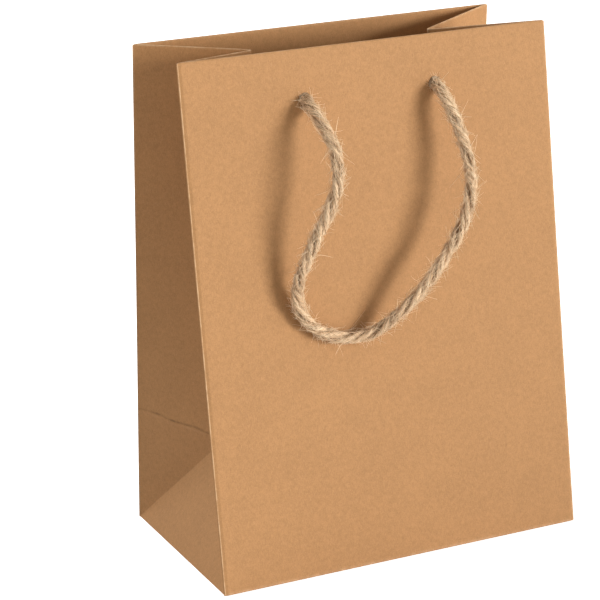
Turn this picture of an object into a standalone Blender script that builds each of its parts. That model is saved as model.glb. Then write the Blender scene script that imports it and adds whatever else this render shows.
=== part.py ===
"""Gift bag of kraft paper with two twisted rope handles.

The bag is one creased sheet, modelled as a separate panel for each stretch of paper between creases.
It stands on its base with its front towards -Y. Its side pleats are pushed in, so its front and back
walls lean towards each other. Each wall pivots on its bottom crease, and each handle swings on a line
through its two holes. Units are metres.
"""

import math

import bmesh
import bpy
import numpy as np
from mathutils import Matrix, Vector

# Overall sizes
BAG_WIDTH = 0.203
BAG_DEPTH = 0.121
WALL_LENGTH = 0.267        # along the wall, from its bottom crease to its top edge
MOUTH_DEPTH = 0.0605       # between the two top edges, at rest

# Sheets
PAPER = 0.0003
CARD = 0.0006
BOARD = 0.0012
GAP = 0.0003               # between neighbours that touch
CREASE_INSET = 0.0008      # from a crease to the panels on each side of it
PLEAT_INSET = 0.0024       # from a wall's side edge to the pleat inside it
PLEAT_COLUMNS = 6
PLEAT_ROWS = 16
HEM_LENGTH = 0.038
HEM_SIDE_INSET = 0.006     # leaves room for the pleat beside the hem
CARD_LENGTH = 0.034
CARD_DROP = 0.001          # from the top edge to the reinforcement card
FLAP_LENGTH = 0.058        # of the side flaps folded in under the base board
FLAP_TAPER = 0.024         # how much narrower a side flap's inner end is, at each corner
FLAP_INSET = 0.002
BOARD_CLEARANCE = 0.0028   # from the base board to the walls and pleats

# Handles
ROPE_DIAMETER = 0.006
HOLE_CLEARANCE = 0.0003    # around the rope
HOLE_SPACING = 0.072
HOLE_DROP = 0.025          # from the top edge to the hole's centre
KNOT_DIAMETER = 0.0135
KNOT_LENGTH = 0.0095
STUB_LENGTH = 0.0033       # of rope fixed in the hole, outside the wall
KNUCKLE_GAP = 0.005        # between the wall and the rope at the line on which the loop swings
KNUCKLE_DROP = 0.0015      # from the hole's centre to that line

# The loop's route in millimetres: across the wall, down from the holes' centres, and the gap between
# the rope and the wall. It is drawn for holes 72 mm apart, and is widened with them.
HANDLE_ROUTE_MM = [
    (-36.0, 1.0, 2.4), (-36.0, 1.5, 5.6), (-35.4, 8.0, 11.4), (-33.4, 18.0, 17.0), (-32.2, 29.0, 21.0),
    (-33.4, 40.0, 22.3), (-37.3, 51.0, 20.5), (-42.2, 62.0, 16.8), (-47.2, 75.0, 11.8), (-51.4, 87.5, 6.8),
    (-51.6, 98.5, 3.2), (-47.5, 108.0, 1.3), (-40.6, 114.8, 0.6), (-31.5, 119.6, 0.4), (-21.5, 121.6, 1.0),
    (-12.0, 120.0, 4.0), (-3.6, 114.4, 8.8), (4.4, 107.0, 13.2), (13.2, 98.0, 16.2), (22.0, 88.0, 17.4),
    (30.5, 77.0, 18.2), (37.4, 65.0, 18.8), (41.6, 51.5, 18.2), (42.2, 38.0, 16.0), (40.6, 25.5, 12.8),
    (37.6, 12.0, 10.2), (36.0, 1.5, 5.6), (36.0, 1.0, 2.4),
]
ROUTE_SPACING = 0.072
ROUTE_STEP = 0.009

HALF_WIDTH = BAG_WIDTH / 2
HALF_DEPTH = BAG_DEPTH / 2
HALF_MOUTH = MOUTH_DEPTH / 2
LEAN = math.asin((HALF_DEPTH - HALF_MOUTH) / WALL_LENGTH)
LIFT = PAPER + GAP                                     # the walls stand on the base panel's edge
CARD_FACE = PAPER + GAP                                # depth of each layer, from the wall's outer face
HEM_FACE = CARD_FACE + CARD + GAP
KNOT_FACE = HEM_FACE + PAPER + GAP

MATERIALS = {
    "kraft_paper": ((0.60, 0.33, 0.145, 1.0), 0.85),
    "grey_card": ((0.42, 0.36, 0.27, 1.0), 0.9),
    "jute_rope": ((0.46, 0.33, 0.19, 1.0), 0.95),
}


def clear_scene():
    for item in list(bpy.data.objects):
        bpy.data.objects.remove(item, do_unlink=True)


def new_collection(name):
    collection = bpy.data.collections.new(name)
    bpy.context.scene.collection.children.link(collection)
    return collection


def new_material(name):
    colour, roughness = MATERIALS[name]
    material = bpy.data.materials.new(name)
    material.use_nodes = True
    shader = material.node_tree.nodes["Principled BSDF"]
    shader.inputs["Base Color"].default_value = colour
    shader.inputs["Roughness"].default_value = roughness
    shader.inputs["Metallic"].default_value = 0.0
    return material


def add_object(name, data, collection, parent=None, location=(0.0, 0.0, 0.0), rotation=(0.0, 0.0, 0.0)):
    item = bpy.data.objects.new(name, data)
    item.parent = parent
    item.location = location
    item.rotation_euler = rotation
    collection.objects.link(item)
    return item


def box_mesh(name, low, high):
    """A cube between two corners."""
    mesh = bpy.data.meshes.new(name)
    shape = bmesh.new()
    bmesh.ops.create_cube(shape, size=1.0)
    low, high = Vector(low), Vector(high)
    size = high - low
    bmesh.ops.transform(
        shape,
        matrix=Matrix.Translation((low + high) / 2) @ Matrix.Diagonal((*size, 1.0)),
        verts=shape.verts,
    )
    shape.to_mesh(mesh)
    shape.free()
    return mesh


def flat_mesh(name, corners):
    """One open face through its corners."""
    mesh = bpy.data.meshes.new(name)
    mesh.from_pydata(corners, [], [range(len(corners))])
    return mesh


def twisted_mesh(name, corners):
    """An open grid between four corners: straight from edge to edge both ways, so it may be twisted."""
    mesh = bpy.data.meshes.new(name)
    shape = bmesh.new()
    bmesh.ops.create_grid(shape, x_segments=PLEAT_COLUMNS, y_segments=PLEAT_ROWS, size=1.0)
    start, end, end_across, start_across = (Vector(corner) for corner in corners)
    for vertex in shape.verts:
        across = (vertex.co.x + 1) / 2
        along = (vertex.co.y + 1) / 2
        vertex.co = start.lerp(end, along).lerp(start_across.lerp(end_across, along), across)
    shape.to_mesh(mesh)
    shape.free()
    return mesh


def inset_corners(corners, insets):
    """Move each edge of an outline inwards by its own inset; edge i runs from corner i to the next one."""
    points = [Vector(corner) for corner in corners]
    count = len(points)
    centre = sum(points, Vector()) / count
    moved = []
    for index, corner in enumerate(points):
        before = (corner - points[index - 1]).normalized()
        after = (points[(index + 1) % count] - corner).normalized()
        normal = before.cross(after).normalized()
        inward_before = normal.cross(before)
        inward_after = normal.cross(after)
        if inward_before.dot(centre - corner) < 0:
            inward_before, inward_after = -inward_before, -inward_after
        sine = before.cross(after).length
        moved.append(corner - before * (insets[index] / sine) + after * (insets[index - 1] / sine))
    return moved


def add_sheet(mesh, collection, material):
    """A panel of paper on an open mesh, thickened equally on both sides."""
    item = add_object(mesh.name, mesh, collection)
    item.data.materials.append(material)
    solid = item.modifiers.new("thickness", "SOLIDIFY")
    solid.thickness = PAPER
    solid.offset = 0.0
    solid.use_even_offset = True
    return item


def add_hole_cutters(side, frame, cutters):
    """Two cylinders through a wall's layers, where the rope passes."""
    made = []
    for sign, word in ((-1, "left"), (1, "right")):
        mesh = bpy.data.meshes.new(f"{side}_{word}_hole")
        shape = bmesh.new()
        bmesh.ops.create_cone(
            shape,
            cap_ends=True,
            segments=24,
            radius1=ROPE_DIAMETER / 2 + HOLE_CLEARANCE,
            radius2=ROPE_DIAMETER / 2 + HOLE_CLEARANCE,
            depth=4 * KNOT_FACE,
        )
        shape.to_mesh(mesh)
        shape.free()
        cutter = add_object(
            mesh.name,
            mesh,
            cutters,
            frame,
            (sign * HOLE_SPACING / 2, 0.0, WALL_LENGTH - HOLE_DROP),
            (math.pi / 2, 0.0, 0.0),
        )
        cutter.hide_render = True
        cutter.display_type = "WIRE"
        made.append(cutter)
    return made


def add_layer(name, low, high, frame, hole_cutters, collection, material):
    """A flat layer of a wall, with the two rope holes cut through it."""
    layer = add_object(name, box_mesh(name, low, high), collection, frame)
    layer.data.materials.append(material)
    for cutter in hole_cutters:
        hole = layer.modifiers.new("rope hole", "BOOLEAN")
        hole.operation = "DIFFERENCE"
        hole.solver = "EXACT"
        hole.object = cutter
    return layer


def knot_profile():
    """Half of the turned outline, outer end first: the stub of rope, then the knot as part of an ellipse."""
    radius = ROPE_DIAMETER / 2
    half_length = KNOT_LENGTH / 2
    start = math.acos(2 * radius / KNOT_DIAMETER)
    centre = -KNOT_FACE - half_length * math.sin(start)
    points = [(0.0, STUB_LENGTH), (radius, STUB_LENGTH)]
    steps = 8
    for step in range(steps + 1):
        angle = start - (start + math.pi / 2) * step / steps
        points.append((KNOT_DIAMETER / 2 * math.cos(angle), centre + half_length * math.sin(angle)))
    return points


def add_knot(name, frame, sign, collection, material):
    """The knot behind a hole and the stub of rope that fills the hole, turned about the hole's axis."""
    mesh = bpy.data.meshes.new(name)
    points = [(across, 0.0, along) for across, along in knot_profile()]
    mesh.from_pydata(points, [(index, index + 1) for index in range(len(points) - 1)], [])
    knot = add_object(
        name,
        mesh,
        collection,
        frame,
        (sign * HOLE_SPACING / 2, 0.0, WALL_LENGTH - HOLE_DROP),
        (math.pi / 2, 0.0, 0.0),
    )
    mesh.materials.append(material)
    turn = knot.modifiers.new("turned", "SCREW")
    turn.steps = 20
    turn.render_steps = 20
    turn.use_merge_vertices = True
    turn.merge_threshold = 0.00001
    turn.use_smooth_shade = True
    return knot


def smooth_route(points, step):
    """Points at equal steps along a Catmull-Rom curve through the given points."""
    padded = np.vstack([2 * points[0] - points[1], points, 2 * points[-1] - points[-2]])
    fine = []
    for index in range(1, len(padded) - 2):
        before, start, end, after = padded[index - 1:index + 3]
        part = np.linspace(0.0, 1.0, 24, endpoint=False)[:, None]
        fine.append(
            0.5 * (
                2 * start
                + (end - before) * part
                + (2 * before - 5 * start + 4 * end - after) * part**2
                + (3 * start - before - 3 * end + after) * part**3
            )
        )
    fine = np.vstack([*fine, points[-1:]])
    along = np.concatenate([[0.0], np.cumsum(np.linalg.norm(np.diff(fine, axis=0), axis=1))])
    count = round(along[-1] / step) + 1
    at = np.linspace(0.0, along[-1], count)
    return np.stack([np.interp(at, along, fine[:, axis]) for axis in range(3)], axis=1)


def add_handle(name, frame, collection, material):
    """The rope loop outside a wall, on a pivot empty that lies on its swing axis."""
    radius = ROPE_DIAMETER / 2
    pivot_place = Vector((0.0, -KNUCKLE_GAP - radius, WALL_LENGTH - HOLE_DROP - KNUCKLE_DROP))
    pivot = add_object(f"{name}_pivot", None, collection, frame, pivot_place)
    across, down, gap = np.array(HANDLE_ROUTE_MM).T / 1000
    route = np.stack(
        [across * HOLE_SPACING / ROUTE_SPACING, -gap - radius, WALL_LENGTH - HOLE_DROP - down],
        axis=1,
    )
    places = smooth_route(route, ROUTE_STEP) - np.array(pivot_place)
    curve = bpy.data.curves.new(name, "CURVE")
    curve.dimensions = "3D"
    curve.bevel_depth = ROPE_DIAMETER / 2
    curve.bevel_resolution = 2
    curve.use_fill_caps = True
    spline = curve.splines.new("POLY")
    spline.points.add(len(places) - 1)
    spline.points.foreach_set("co", np.c_[places, np.ones(len(places))].ravel())
    spline.use_smooth = True
    curve.materials.append(material)
    return add_object(name, curve, collection, pivot)


def add_wall(side, facing, collection, cutters, paper, card, rope):
    """A leaning wall: its paper, the card and hem inside its top edge, its knots and its handle.

    facing is 1 for the wall at -Y and -1 for the one at +Y, which is turned half round. The wall's own
    Z runs up it from the crease, and its own -Y points out of the bag.
    """
    frame = add_object(
        f"{side}_wall_crease",
        None,
        collection,
        None,
        (0.0, -facing * HALF_DEPTH, LIFT),
        (-LEAN, 0.0, 0.0 if facing == 1 else math.pi),
    )
    holes = add_hole_cutters(side, frame, cutters)
    half_hem = HALF_WIDTH - HEM_SIDE_INSET
    card_top = WALL_LENGTH - CARD_DROP
    layers = [
        ("panel", HALF_WIDTH, 0.0, PAPER, 0.0, WALL_LENGTH, paper),
        ("card", half_hem, CARD_FACE, CARD, card_top - CARD_LENGTH, card_top, card),
        ("hem", half_hem, HEM_FACE, PAPER, WALL_LENGTH - HEM_LENGTH, WALL_LENGTH, paper),
    ]
    for word, half, face, thickness, bottom, top, material in layers:
        low = (-half, face, bottom)
        high = (half, face + thickness, top)
        add_layer(f"{side}_{word}", low, high, frame, holes, collection, material)
    for sign, word in ((-1, "left"), (1, "right")):
        add_knot(f"{side}_{word}_knot", frame, sign * facing, collection, rope)
    add_handle(f"{side}_handle", frame, collection, rope)


def pleat_points():
    """The crease points of the left side: wall edge, base corner and the two ends of the centre crease."""
    depth = math.sqrt(HALF_DEPTH**2 - HALF_MOUTH**2)
    apex_height = HALF_DEPTH * (1 - math.sin(LEAN)) / math.cos(LEAN)
    apex_depth = math.sqrt(HALF_DEPTH**2 - apex_height**2)
    crease_length = WALL_LENGTH - HALF_DEPTH
    rise = math.sqrt(crease_length**2 - (depth - apex_depth)**2)
    fold_width = HALF_DEPTH * (1 - math.sin(LEAN))
    fold_height = HALF_DEPTH * math.cos(LEAN)
    return {
        "corner": Vector((-HALF_WIDTH, -HALF_DEPTH, LIFT)),
        "fold": Vector((-HALF_WIDTH, -fold_width, LIFT + fold_height)),
        "top": Vector((-HALF_WIDTH, -HALF_MOUTH, LIFT + WALL_LENGTH * math.cos(LEAN))),
        "apex": Vector((-HALF_WIDTH + apex_depth, 0.0, LIFT + apex_height)),
        "dip": Vector((-HALF_WIDTH + depth, 0.0, LIFT + apex_height + rise)),
    }


def add_pleat(side, collection, paper):
    """One side of the bag: two tall pleat panels, two corner triangles and the foot triangle."""
    mirror = Vector((1.0 if side == "left" else -1.0, 1.0, 1.0))
    for word, flip in (("front", 1.0), ("back", -1.0)):
        at = {key: point * mirror * Vector((1.0, flip, 1.0)) for key, point in pleat_points().items()}
        tall = [at["fold"], at["top"], at["dip"], at["apex"]]
        insets = [PLEAT_INSET, CREASE_INSET, CREASE_INSET, CREASE_INSET]
        mesh = twisted_mesh(f"{side}_pleat_{word}", inset_corners(tall, insets))
        add_sheet(mesh, collection, paper)
        corner = [at["corner"], at["fold"], at["apex"]]
        insets = [PLEAT_INSET, CREASE_INSET, CREASE_INSET]
        mesh = flat_mesh(f"{side}_corner_{word}", inset_corners(corner, insets))
        add_sheet(mesh, collection, paper)
    at = {key: point * mirror for key, point in pleat_points().items()}
    other = at["corner"] * Vector((1.0, -1.0, 1.0))
    foot = inset_corners([at["corner"], at["apex"], other], [CREASE_INSET] * 3)
    add_sheet(flat_mesh(f"{side}_foot", foot), collection, paper)


def add_base(collection, paper, card):
    """The glued bottom, the two side flaps folded in above it and the loose board on top."""
    bottom = add_object(
        "base_panel",
        box_mesh("base_panel", (-HALF_WIDTH, -HALF_DEPTH, 0.0), (HALF_WIDTH, HALF_DEPTH, PAPER)),
        collection,
    )
    bottom.data.materials.append(paper)
    flap_height = LIFT + PAPER / 2
    for side, sign in (("left", -1.0), ("right", 1.0)):
        outer = sign * (HALF_WIDTH - FLAP_INSET)
        inner = sign * (HALF_WIDTH - FLAP_LENGTH)
        wide = HALF_DEPTH - FLAP_INSET
        narrow = wide - FLAP_TAPER
        outline = [(outer, -wide), (outer, wide), (inner, narrow), (inner, -narrow)]
        corners = [(x, y, flap_height) for x, y in outline]
        add_sheet(flat_mesh(f"{side}_base_flap", corners), collection, paper)
    board_low = 2 * LIFT
    half = (HALF_WIDTH - BOARD_CLEARANCE, HALF_DEPTH - BOARD_CLEARANCE)
    board = add_object(
        "base_board",
        box_mesh("base_board", (-half[0], -half[1], board_low), (half[0], half[1], board_low + BOARD)),
        collection,
    )
    board.data.materials.append(card)


def main():
    clear_scene()
    parts = new_collection("gift_bag")
    cutters = new_collection("cutters")
    paper = new_material("kraft_paper")
    card = new_material("grey_card")
    rope = new_material("jute_rope")
    add_wall("front", 1, parts, cutters, paper, card, rope)
    add_wall("back", -1, parts, cutters, paper, card, rope)
    add_pleat("left", parts, paper)
    add_pleat("right", parts, paper)
    add_base(parts, paper, card)


main()
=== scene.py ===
"""Gift bag of folded kraft paper with two twisted jute handles.

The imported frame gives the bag's sizes and its moving bodies. Each operator below builds one group of
pieces around that frame: the walls, the side pleats, the bottom, the handles, their knots, and the stage.
Lengths are metres unless a name says otherwise.
"""

import math

import bpy
import numpy as np
from bpy.props import FloatProperty, FloatVectorProperty, IntProperty, PointerProperty
from bpy.types import Operator, Panel, PropertyGroup
from mathutils import Matrix, Vector


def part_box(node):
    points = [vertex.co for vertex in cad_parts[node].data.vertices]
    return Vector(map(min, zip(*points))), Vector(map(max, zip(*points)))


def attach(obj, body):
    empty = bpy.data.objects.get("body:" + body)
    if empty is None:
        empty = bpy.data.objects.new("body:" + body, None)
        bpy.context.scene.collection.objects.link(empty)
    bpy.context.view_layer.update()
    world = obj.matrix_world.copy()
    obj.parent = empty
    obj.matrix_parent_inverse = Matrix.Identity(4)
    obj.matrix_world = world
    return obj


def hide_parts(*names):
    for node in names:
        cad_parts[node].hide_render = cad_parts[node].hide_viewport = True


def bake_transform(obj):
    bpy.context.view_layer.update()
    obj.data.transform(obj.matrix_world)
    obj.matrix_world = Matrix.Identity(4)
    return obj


bl_info = {
    "name": "Kraft Gift Bag",
    "version": (1, 0, 0),
    "blender": (4, 5, 0),
    "location": "View3D > Sidebar > Gift Bag",
    "description": "Builds a folded paper gift bag with twisted rope handles around its packed frame",
    "category": "Object",
}

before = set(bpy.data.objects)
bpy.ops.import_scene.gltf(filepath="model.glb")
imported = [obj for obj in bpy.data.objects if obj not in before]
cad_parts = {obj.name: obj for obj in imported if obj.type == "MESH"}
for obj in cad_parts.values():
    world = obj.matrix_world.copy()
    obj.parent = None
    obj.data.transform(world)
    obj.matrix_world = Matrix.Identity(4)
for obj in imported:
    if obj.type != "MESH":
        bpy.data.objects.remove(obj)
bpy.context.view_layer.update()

MM = 0.001

# Sizes that the frame gives
BASE_LOW, BASE_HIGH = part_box("base_panel")
WIDTH = BASE_HIGH.x - BASE_LOW.x
DEPTH = BASE_HIGH.y - BASE_LOW.y
CREASE_HEIGHT = 0.6 * MM                # of the walls' bottom creases above the ground
WALL_LENGTH = 267 * MM                  # up a wall, from its bottom crease to its top edge
LEAN = math.acos((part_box("front_panel")[1].z - CREASE_HEIGHT) / WALL_LENGTH)
HALF_MOUTH = DEPTH / 2 - WALL_LENGTH * math.sin(LEAN)
ENDS = (("front", 1), ("back", -1))     # the back wall and handle are the front ones turned half round

# Walls
TOP_FOLD_RADIUS = 0.9 * MM              # of the turned-over top edge, around the card inside it
SIDE_FOLD_RADIUS = 0.5 * MM
BOTTOM_FOLD_RADIUS = 0.8 * MM
BOTTOM_FOLD_CENTRE = 0.25 * MM          # height of the bottom fold's centre up the wall
SIDE_START = WIDTH / 2 - SIDE_FOLD_RADIUS   # across the wall, where its side fold starts to turn
HALF_PAPER = SIDE_START + SIDE_FOLD_RADIUS * math.pi / 2    # from the wall's middle to its side edge, flat
TOP_START = WALL_LENGTH - TOP_FOLD_RADIUS   # up the wall, where its top fold starts to turn
HEM_LENGTH = 38 * MM
HEM_SIDE_INSET = 4.2 * MM
SCORE_INSET = 2.2 * MM                  # from a wall's side edge to the pressed strip beside it
PRESS_WIDTH = 1.3 * MM
PRESS_ANGLE = math.radians(14)
HOLE_SPACING = 72 * MM
HOLE_HEIGHT = 242 * MM
HOLE_RADIUS = 3.3 * MM
HOLE_PATCH = 6 * MM                     # half the side of the square of mesh around a hole

# Side pleats
PLEAT_TUCK = 0.35 * MM                  # from a wall's side edge to the pleat tucked in behind it
PLEAT_BEHIND = 0.9 * MM                 # from a wall's outer face to the pleat's outer edge
DIP_HEIGHT = 262 * MM                   # of the middle of a pleat's top edge
CROSS_FOLD = 65 * MM                    # up the wall, from its bottom crease to the pleat's cross fold
PLEAT_HEM_RADIUS = 0.45 * MM
PLEAT_HEM_LENGTH = 36 * MM
PLEAT_HEM_INSET = 0.105                 # share of a half pleat's width left free beside the wall

# Bottom flaps
FLAP_THICKNESS = 0.24 * MM
FLAP_TAPER = 26 * MM                    # length over which a flap narrows at 45 degrees
FLAP_CLIMB = 16 * MM                    # before the bag's middle, where one flap climbs onto the other

# Handles: across the wall, down from the line through the holes, and the gap between rope and wall
HANDLE_ROUTE = MM * np.array([
    (-36.0, 2.3, 1.4), (-35.9, 4.8, 5.2), (-35.2, 9.6, 10.8), (-33.4, 18.0, 17.0), (-32.2, 29.0, 21.0),
    (-33.4, 40.0, 22.3), (-37.3, 51.0, 20.5), (-42.2, 62.0, 16.8), (-47.2, 75.0, 11.8), (-51.4, 87.5, 6.8),
    (-51.6, 98.5, 3.2), (-47.5, 108.0, 1.3), (-40.6, 114.8, 0.6), (-31.5, 119.6, 0.4), (-21.5, 121.6, 1.0),
    (-12.0, 120.0, 4.0), (-3.6, 114.4, 8.8), (4.4, 107.0, 13.2), (13.2, 98.0, 16.2), (22.0, 88.0, 17.4),
    (30.5, 77.0, 18.2), (37.4, 65.0, 18.8), (41.6, 51.5, 18.2), (42.2, 38.0, 16.0), (40.6, 25.5, 12.8),
    (37.8, 13.0, 9.6), (36.2, 5.2, 5.2), (36.0, 2.3, 1.4),
])
ROPE_INSIDE = 4 * MM                    # how far the rope runs on behind the wall, into its knot
YARN_LAY = 34 * MM                      # length of rope in which the yarns of a strand go once round it
KNOT_CENTRE = 6.8 * MM                  # behind the wall's outer face
KNOT_CORD = 0.66                        # thickness of the knots' cord, in rope diameters
FIBRE_RINGS, FIBRE_SIDES = 6, 3         # of points on one loose fibre

# Looks
BARK_COLOUR = (0.095, 0.042, 0.018, 1.0)
PALE_BOARD = (0.5, 0.47, 0.42, 1.0)
FLOOR_HALF = 12.0                       # half the side of the floor
VIEW_HEIGHT = 0.1335                    # of the middle of the bag, which the camera is set out from
VIEW_RIGHT, VIEW_UP = -0.02521, -0.00871    # from there to the middle of the view


# ---- settings


COLOUR = {"subtype": "COLOR", "size": 4, "min": 0.0, "max": 1.0}


class PaperSettings(PropertyGroup):
    """Sizes and colours of the paper."""

    thickness: FloatProperty(
        name="Thickness", description="Thickness of the paper", default=0.3 * MM, unit="LENGTH")
    colour: FloatVectorProperty(
        name="Paper", description="Colour of the kraft paper", default=(0.430, 0.218, 0.084, 1.0), **COLOUR)
    # Colour of the paper along its folds: wear, and a painted highlight on the side fold's ridge
    worn_and_lit_colour: FloatVectorProperty(
        name="Worn and lit folds", description="Colour of the paper along its folds",
        default=(0.72, 0.49, 0.29, 1.0), **COLOUR)
    cut_colour: FloatVectorProperty(
        name="Cut edges", description="Colour of the paper's cut edges",
        default=(0.68, 0.47, 0.28, 1.0), **COLOUR)
    card_colour: FloatVectorProperty(
        name="Grey board", description="Colour of the board and of the cards inside the top folds",
        default=(0.30, 0.27, 0.225, 1.0), **COLOUR)


class RopeSettings(PropertyGroup):
    """Sizes and colours of the rope handles."""

    diameter: FloatProperty(
        name="Diameter", description="Diameter of the rope", default=6 * MM, unit="LENGTH")
    lay_length: FloatProperty(
        name="Lay", description="Length of rope in which a strand goes once round", default=31 * MM,
        unit="LENGTH")
    fuzz_count: IntProperty(
        name="Fuzz", description="Short fibres that stand off each handle", default=4300, min=0)
    loose_count: IntProperty(
        name="Loose fibres", description="Long loose fibres on each handle", default=190, min=0)
    dark_colour: FloatVectorProperty(
        name="Dark jute", description="Colour of the darkest fibres", default=(0.25, 0.132, 0.058, 1.0),
        **COLOUR)
    colour: FloatVectorProperty(
        name="Jute", description="Colour of most of the fibres", default=(0.66, 0.425, 0.24, 1.0), **COLOUR)
    pale_colour: FloatVectorProperty(
        name="Pale jute", description="Colour of the palest fibres", default=(0.97, 0.76, 0.51, 1.0),
        **COLOUR)


class StageSettings(PropertyGroup):
    """Floor, light and camera."""

    floor_colour: FloatVectorProperty(
        name="Floor", description="Colour of the floor", default=(0.90, 0.90, 0.90, 1.0), **COLOUR)
    key_strength: FloatProperty(
        name="Key light", description="Strength of the main light", default=4.6, min=0.0)
    key_across: FloatProperty(
        name="Key from the right", description="How far to the right the main light stands", default=0.80)
    key_height: FloatProperty(
        name="Key height", description="How high the main light stands", default=0.07)
    key_size: FloatProperty(
        name="Key size", description="Angle that the main light fills", default=math.radians(23),
        subtype="ANGLE")
    rim_strength: FloatProperty(
        name="Rim light", description="Strength of the soft light from behind and above", default=1.8,
        min=0.0)
    fill_strength: FloatProperty(
        name="Fill light", description="Strength of the light from all round", default=0.41, min=0.0)
    camera_turn: FloatProperty(
        name="Camera turn", description="Camera's angle round the bag", default=math.radians(-24.1),
        subtype="ANGLE")
    camera_rise: FloatProperty(
        name="Camera rise", description="Camera's angle above the floor", default=math.radians(17.0),
        subtype="ANGLE")
    camera_roll: FloatProperty(
        name="Camera roll", description="Camera's tilt about its own line of sight",
        default=math.radians(-1.99), subtype="ANGLE")
    camera_distance: FloatProperty(
        name="Camera distance", description="From the camera to the middle of the view", default=1.19535,
        unit="LENGTH")
    lens: FloatProperty(
        name="Lens", description="Focal length in millimetres, on a sensor 36 mm wide", default=136.94)


# ---- mesh helpers


def smooth_step(value):
    """0 below 0, 1 above 1, and the cubic 3v^2 - 2v^3 between."""
    value = np.clip(value, 0.0, 1.0)
    return value * value * (3 - 2 * value)


def soft_ramp(value, softness):
    """0 below 0 and the value itself above 0, as half of value + sqrt(value^2 + softness^2)."""
    return 0.5 * (value + np.sqrt(value * value + softness * softness))


def near_line(distance, reach):
    """1 on a line, falling off as exp(-(distance / reach)^2)."""
    return np.exp(-(distance / reach) ** 2)


def unit(vectors):
    """Vectors at length 1."""
    return vectors / np.maximum(np.linalg.norm(vectors, axis=-1, keepdims=True), 1e-15)


def joined(*parts):
    """Vectors from arrays or numbers for x, y and z, which are spread over each other's shapes."""
    return np.stack(np.broadcast_arrays(*parts), axis=-1)


def grid_quads(rows, columns, closed=False):
    """Faces of a grid whose point (row, column) has the number row * columns + column."""
    row, column = np.meshgrid(np.arange(rows - 1), np.arange(columns - (not closed)), indexing="ij")
    after = (column + 1) % columns
    corners = [row * columns + column, row * columns + after, (row + 1) * columns + after,
               (row + 1) * columns + column]
    return np.stack(corners, axis=-1).reshape(-1, 4)


def face_edges(faces):
    """Every edge of some faces, each in the direction in which its face runs."""
    return np.stack([faces, np.roll(faces, -1, axis=1)], axis=-1).reshape(-1, 2)


def point_normals(points, faces):
    """Unit normals, each the sum of the area vectors of the faces round its point."""
    corners = points[faces]
    area = np.cross(corners[:, 2] - corners[:, 0], corners[:, -1] - corners[:, 1])
    normals = np.zeros_like(points)
    np.add.at(normals, faces, area[:, None])
    return unit(normals)


def weld(points, faces, grain=1e-7):
    """Points closer together than the grain become one."""
    _, first, place = np.unique(
        np.round(points / grain).astype(np.int64), axis=0, return_index=True, return_inverse=True)
    return points[first], place.reshape(-1)[faces], first


def thicken(points, normals, face_sets, thickness):
    """A sheet with two faces and a rim: the inner face lies thickness behind the outer one, along the
    normals. Returns the points, a list of face arrays, and for each array whether it is rim."""
    count = len(points)
    inner = points - normals * thickness
    edges = np.vstack([face_edges(faces) for faces in face_sets])
    free = edges[~np.isin(edges[:, 0] * count + edges[:, 1], edges[:, 1] * count + edges[:, 0])]
    rim = np.stack([free[:, 1], free[:, 0], free[:, 0] + count, free[:, 1] + count], axis=1)
    solid = []
    for faces in face_sets:
        solid += [(faces, 0), (faces[:, ::-1] + count, 0)]
    solid.append((rim, 1))
    return np.vstack([points, inner]), solid


def used_only(points, face_sets, *fields):
    """Drops the points that no face uses, with the same rows of each field."""
    used = np.unique(np.concatenate([faces.ravel() for faces in face_sets]))
    place = np.zeros(len(points), np.int64)
    place[used] = np.arange(len(used))
    return [points[used], [place[faces] for faces in face_sets], *[field[used] for field in fields]]


def add_object(name, points, face_sets, materials, slots=None, fields=None):
    """A mesh object at the origin, shaded smooth, with the named materials. slots gives each face
    array's material, and fields holds numbers or vectors for each point, which the materials read."""
    mesh = bpy.data.meshes.new(name)
    faces = [face for faces in face_sets for face in faces.tolist()]
    mesh.from_pydata(points.tolist(), [], faces)
    for material in materials:
        mesh.materials.append(bpy.data.materials[material])
    if slots is not None:
        numbers = np.repeat(np.array(slots, np.int32), [len(faces) for faces in face_sets])
        mesh.polygons.foreach_set("material_index", numbers)
    mesh.polygons.foreach_set("use_smooth", np.ones(len(faces), bool))
    for field, values in (fields or {}).items():
        values = np.asarray(values, np.float32)
        kind, key = ("FLOAT", "value") if values.ndim == 1 else ("FLOAT_VECTOR", "vector")
        mesh.attributes.new(field, kind, "POINT").data.foreach_set(key, values.ravel())
    mesh.update()
    made = bpy.data.objects.new(name, mesh)
    bpy.context.scene.collection.objects.link(made)
    return made


def add_sheet(name, points, normals, face_sets, thickness, flat, fold_wear_light_and_shade):
    """A closed sheet of paper. flat holds each point's place on the sheet before it was folded, and
    the fold field is 1 on a fold line painted pale, for wear and painted highlight, and below 0 on a
    line of painted shade."""
    solid_points, solid = thicken(points, normals, face_sets, thickness)
    made = add_object(
        name, solid_points, [faces for faces, _ in solid], ["kraft_sheet", "kraft_cut_edge"],
        [rim for _, rim in solid], {"flat": np.vstack([flat, flat]), "fold": np.concatenate([fold_wear_light_and_shade, fold_wear_light_and_shade])})
    made.data.set_sharp_from_angle(angle=math.radians(50))
    return made


def in_wall(points, facing):
    """Moves points from a wall's own frame to the bag. In that frame x runs across the wall, y from its
    outer face inwards and z up it from its bottom crease. facing is 1 for the front wall and -1 for
    the back one, which is the front one turned half round."""
    x, y, z = np.moveaxis(np.asarray(points, float), -1, 0)
    inward = -DEPTH / 2 + y * math.cos(LEAN) + z * math.sin(LEAN)
    up = CREASE_HEIGHT + z * math.cos(LEAN) - y * math.sin(LEAN)
    return joined(facing * x, facing * inward, up)


# ---- materials


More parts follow.
